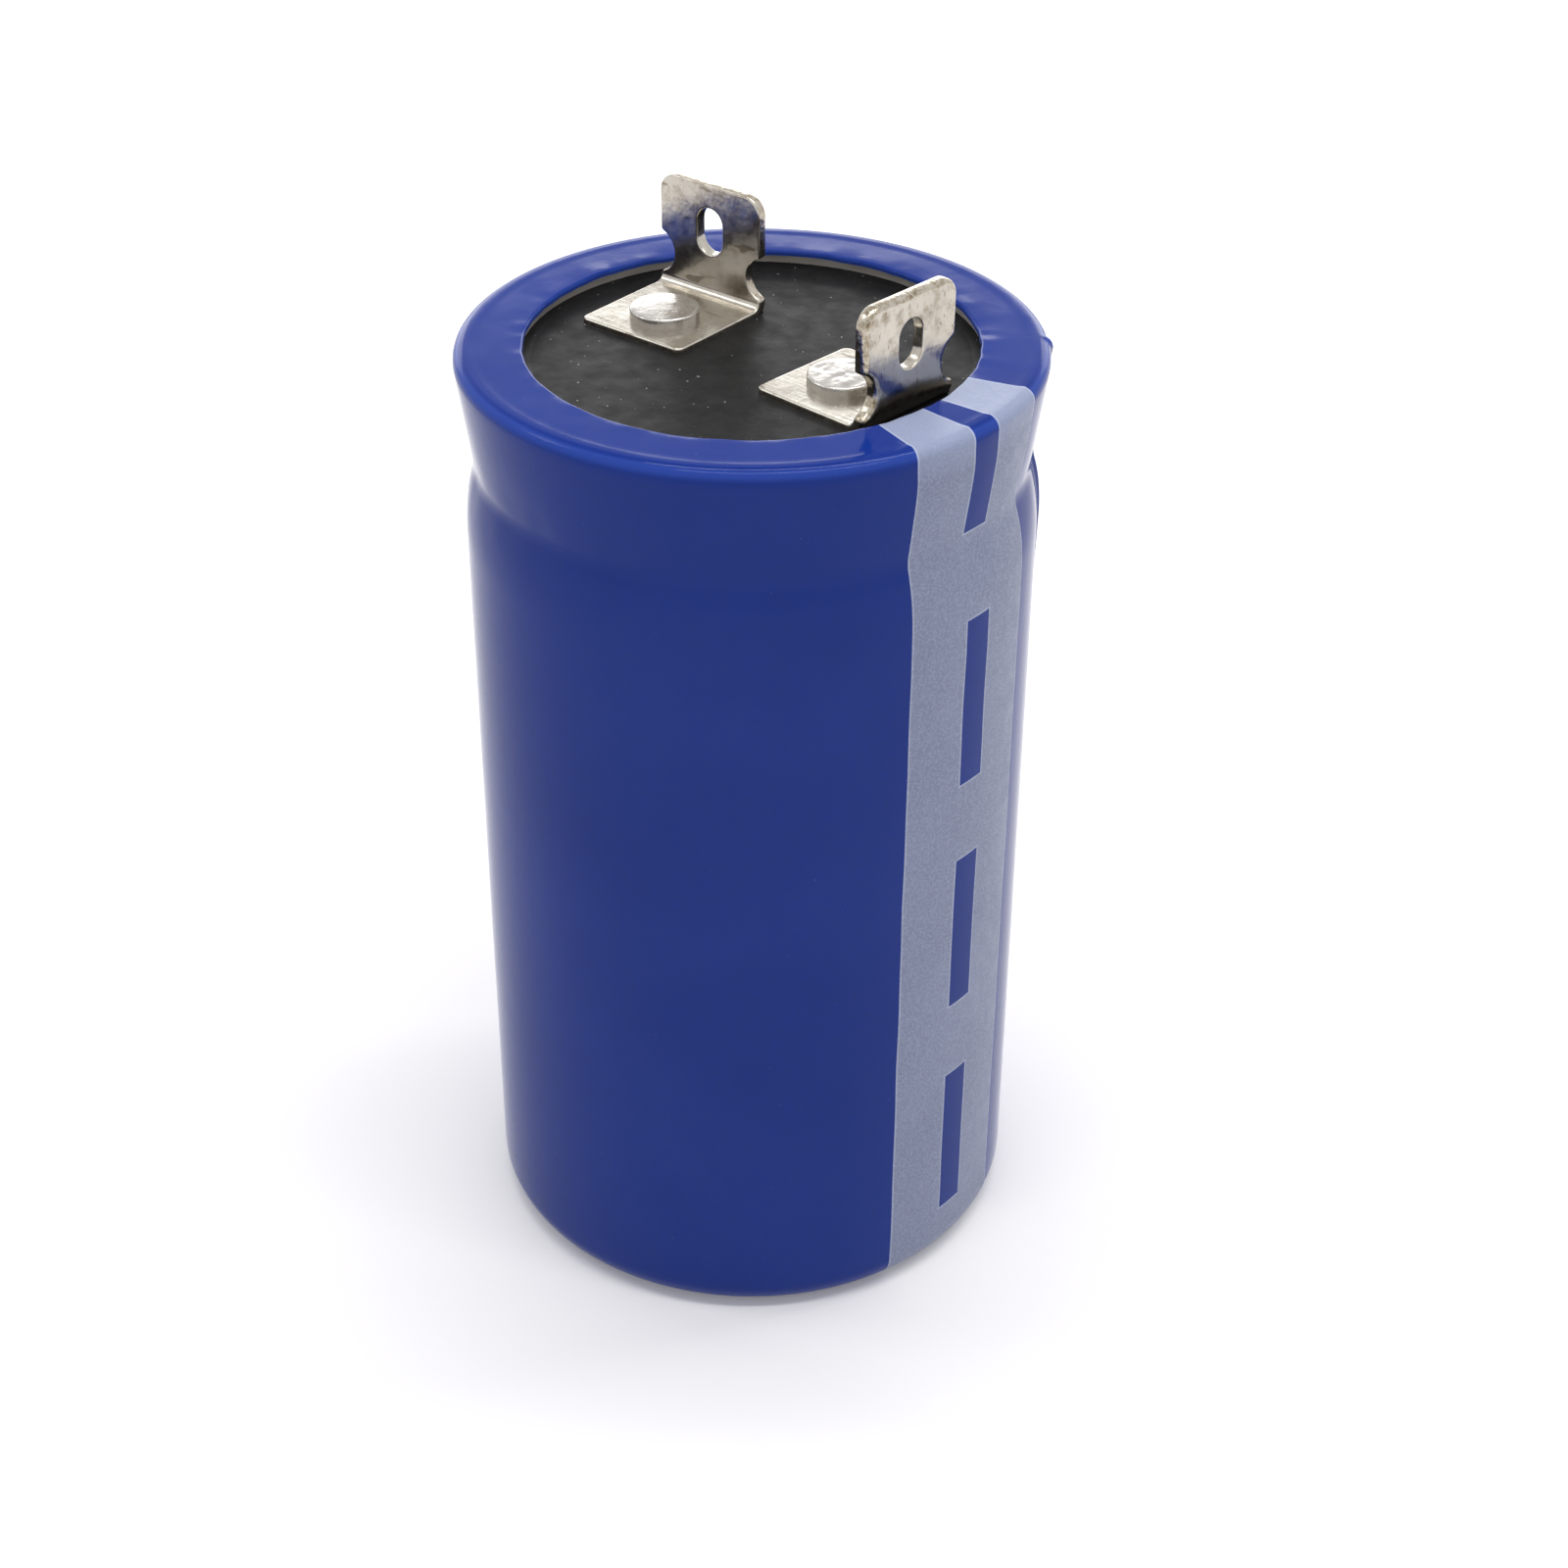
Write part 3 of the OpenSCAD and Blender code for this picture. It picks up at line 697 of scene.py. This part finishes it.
def build_rivet(name, node, x, metal, rough_top):
    """A rivet with its flange inside and an uneven pressed head."""
    head_z = LUG_Z + LUG_T
    top = head_z + RIVET_HEAD_H
    crown = top - RIVET_CROWN
    edge = arc((RIVET_HEAD_R - RIVET_EDGE_R, crown - RIVET_EDGE_R), RIVET_EDGE_R, 0, 80, 6)
    steps = 14
    cap = []
    for i in range(1, steps):
        r = edge[-1][0] * (1 - i / steps)
        cap.append((r, edge[-1][1] + (top - edge[-1][1]) * (1 - (r / edge[-1][0]) ** 2)))
    outline = ([(0, FLANGE_Z), (FLANGE_R, FLANGE_Z), (FLANGE_R, WASHER_Z), (RIVET_R, WASHER_Z),
                (RIVET_R, head_z), (RIVET_HEAD_R, head_z)] + edge + cap + [(0, top)])

    def shape(r, z, a):
        if z < head_z + 0.2:
            return r, z, a
        t = math.radians(a)
        px, py = r * math.cos(t), r * math.sin(t)
        if rough_top:
            ridge = (noise.noise(Vector((px * 1.5 + 4.0, py * 0.7, 2.0)))
                     + 0.6 * noise.noise(Vector((px * 2.9, py * 1.7, 8.0))))
            z += 0.045 * ridge * (1 - hump(r, RIVET_HEAD_R, 0.3)) - 0.03
        else:
            z += 0.012 * noise.noise(Vector((px * 1.1, py * 1.1, 5.0)))
        return r * (1 + 0.012 * wander(a, z, 1.4, 0.6, 3.0 + x)), z, a

    bm = lathe(outline, even_angles(RIVET_COLUMNS), shape, None, (x, 0.0))
    return new_piece(name, bm, [metal], [node], RIVET_SHARP)


def paint_cad(mat, *names):
    """A material on nodes that are carried over from the CAD."""
    for name in names:
        mesh = NODES[name].data
        mesh.materials.clear()
        mesh.materials.append(mat)


def build_object():
    """Every piece that shows, and the looks of what is carried over."""
    film, ink, outline_ink = film_look(), ink_look("stripe_ink", 0), ink_look("stripe_outline", 24)
    plating, shear, metal = plating_look(), shear_look(), rivet_look()
    build_sleeve(film, ink, outline_ink)
    build_lug("positive_lug_look", "positive_lug", -TERMINAL_X, POSITIVE_TURN, plating, shear)
    build_lug("negative_lug_look", "negative_lug", TERMINAL_X, NEGATIVE_TURN, plating, shear)
    build_rivet("positive_rivet_look", "positive_rivet", -TERMINAL_X, metal, False)
    build_rivet("negative_rivet_look", "negative_rivet", TERMINAL_X, metal, True)
    paint_cad(can_look(), "can")
    paint_cad(rubber_look(), "header_rubber")
    paint_cad(board_look(), "header_board")
    paint_cad(metal, "positive_washer", "negative_washer")
    paint_cad(foil_look(), "positive_tab", "negative_tab")
    paint_cad(winding_look(), "winding")
    paint_cad(tape_look(), "winding_tape")


def seen_directly(tree):
    """1 for rays that show the background: from the camera, off gloss or through glass."""
    path = tree.nodes.new("ShaderNodeLightPath")
    out = path.outputs["Is Camera Ray"]
    for name in ("Is Glossy Ray", "Is Transmission Ray"):
        n = tree.nodes.new("ShaderNodeMath")
        n.operation = "MAXIMUM"
        tree.links.new(out, n.inputs[0])
        tree.links.new(path.outputs[name], n.inputs[1])
        out = n.outputs[0]
    return out


def build_floor():
    """Pale paper with a painted glow, which lifts it to white away from the object where a ray shows it
    directly.
    """
    look = Look("floor_paper", roughness=0.85, specular=0.1)
    low, high = (0.958, 0.938, 0.944, 1.0), (0.964, 0.945, 0.95, 1.0)
    look.colour(look.ramp(look.noise(0.02, 2.0), (0.3, low), (0.7, high)))
    # Painted glow: the floor's emission is strongest far from the object and weakest beside it, so the
    # floor turns white far off and keeps its shade close by.
    lift = look.ramp(look.nearness(FLOOR_FADE), (0.2, 0.5), (0.84, 0.27), (0.945, 0.13))
    look.join(lift, look.bsdf.inputs["Emission Color"])
    look.join(seen_directly(look.tree), look.bsdf.inputs["Emission Strength"])
    bm = bmesh.new()
    corners = ((-1, -1), (1, -1), (1, 1), (-1, 1))
    bm.faces.new([bm.verts.new((x * FLOOR_HALF, y * FLOOR_HALF, 0.0)) for x, y in corners])
    mesh = bpy.data.meshes.new("floor")
    bm.to_mesh(mesh)
    bm.free()
    mesh.materials.append(look.mat)
    floor = bpy.data.objects.new("floor", mesh)
    bpy.context.scene.collection.objects.link(floor)


def build_world(fill):
    """Soft light of a fill strength, which shows as plain white."""
    world = bpy.data.worlds.new("studio")
    bpy.context.scene.world = world
    world.use_nodes = True
    tree = world.node_tree
    tree.nodes.clear()
    out = tree.nodes.new("ShaderNodeOutputWorld")
    mixer = tree.nodes.new("ShaderNodeMixShader")
    soft = tree.nodes.new("ShaderNodeBackground")
    soft.inputs["Color"].default_value = (1.0, 1.0, 1.0, 1.0)
    soft.inputs["Strength"].default_value = fill
    white = tree.nodes.new("ShaderNodeBackground")
    white.inputs["Color"].default_value = (1.0, 1.0, 1.0, 1.0)
    white.inputs["Strength"].default_value = 1.0
    tree.links.new(seen_directly(tree), mixer.inputs["Fac"])
    tree.links.new(soft.outputs[0], mixer.inputs[1])
    tree.links.new(white.outputs[0], mixer.inputs[2])
    tree.links.new(mixer.outputs[0], out.inputs["Surface"])


def add_lamp(name, place, size, watts, tilt=0.0, turn=VIEW_TURN, spread=180.0):
    """A lamp that faces down, or is tilted up from there at a turn about the upright axis."""
    data = bpy.data.lights.new(name, "AREA")
    data.shape = "RECTANGLE"
    data.size, data.size_y = size
    data.energy = watts
    data.spread = math.radians(spread)
    lamp = bpy.data.objects.new(name, data)
    lamp.location = place
    lamp.rotation_euler = (math.radians(-tilt), 0.0, math.radians(turn))
    bpy.context.scene.collection.objects.link(lamp)


def build_camera():
    """The camera, where the photo was taken from."""
    data = bpy.data.cameras.new("camera")
    data.sensor_width = CAMERA_SENSOR
    data.lens = CAMERA_LENS
    data.shift_x = CAMERA_SHIFT
    data.clip_start, data.clip_end = CAMERA_CLIP
    cam = bpy.data.objects.new("camera", data)
    cam.location = CAMERA_PLACE
    cam.rotation_euler = (math.radians(VIEW_TILT), 0.0, math.radians(VIEW_TURN))
    bpy.context.scene.collection.objects.link(cam)
    bpy.context.scene.camera = cam


build_object()
build_floor()
build_world(WORLD_FILL)
add_lamp("strip_near", (0.17, -0.04, 0.62), STRIP_SIZE, STRIP_WATTS)
add_lamp("strip_far", (0.01, 0.14, 0.62), STRIP_SIZE, STRIP_WATTS)
add_lamp("card", (-0.49, -0.32, 0.58), (0.2, 0.2), 0.5, tilt=48.0, turn=123.0)
add_lamp("backdrop", (-0.67, 0.74, 0.25), (1.6, 0.4), 1.7, tilt=80.0, spread=100.0)
build_camera()
bpy.context.scene.view_settings.view_transform = "Standard"
